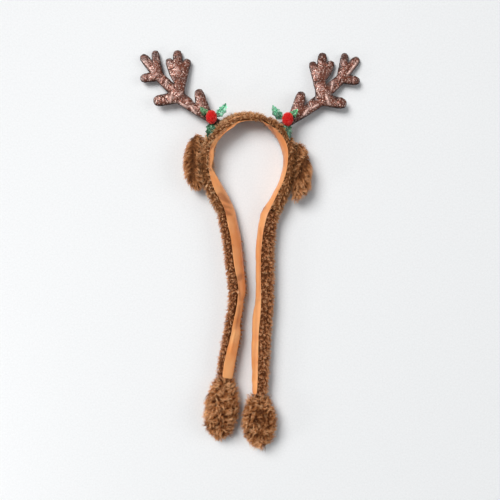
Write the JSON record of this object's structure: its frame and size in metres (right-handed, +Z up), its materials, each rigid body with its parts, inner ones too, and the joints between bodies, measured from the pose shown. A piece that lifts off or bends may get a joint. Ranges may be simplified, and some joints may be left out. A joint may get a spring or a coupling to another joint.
{
  "type": "reindeer antler headband",
  "caption": "Plush head arch with stuffed glitter antlers, holly sprigs with pompom berries, folded plush ears and long satin-lined straps that end in paws, lying flat.",
  "frame": {"origin": "on the surface that the headband lies on, below the middle of its bounding box", "axes": "+X to the right as seen from above with the antlers at the top, +Y from the paws to the antlers, +Z up from the surface"},
  "size_m": [0.3248, 0.5914, 0.0364],
  "materials": {
    "plush": "curly pile",
    "ear_plush": "long pile",
    "satin": "satin",
    "glitter_fabric": "fine glitter",
    "glitter_leaf": "glitter",
    "berry_plush": "pompom pile"
  },
  "bodies": {
    "root": {"arch_plush": "plush", "arch_lining": "satin", "strap_plush_left": "plush", "strap_lining_left": "satin", "strap_plush_right": "plush", "strap_lining_right": "satin", "paw_left": "plush", "paw_right": "plush", "ear_left": "ear_plush", "ear_right": "ear_plush", "antler_left": "glitter_fabric", "antler_right": "glitter_fabric", "holly_leaf_inner_left": "glitter_leaf", "holly_leaf_outer_left": "glitter_leaf", "holly_leaf_lower_left": "glitter_leaf", "holly_leaf_inner_right": "glitter_leaf", "holly_leaf_outer_right": "glitter_leaf", "holly_leaf_lower_right": "glitter_leaf", "berry_left": "berry_plush", "berry_right": "berry_plush"}
  },
  "joints": []
}
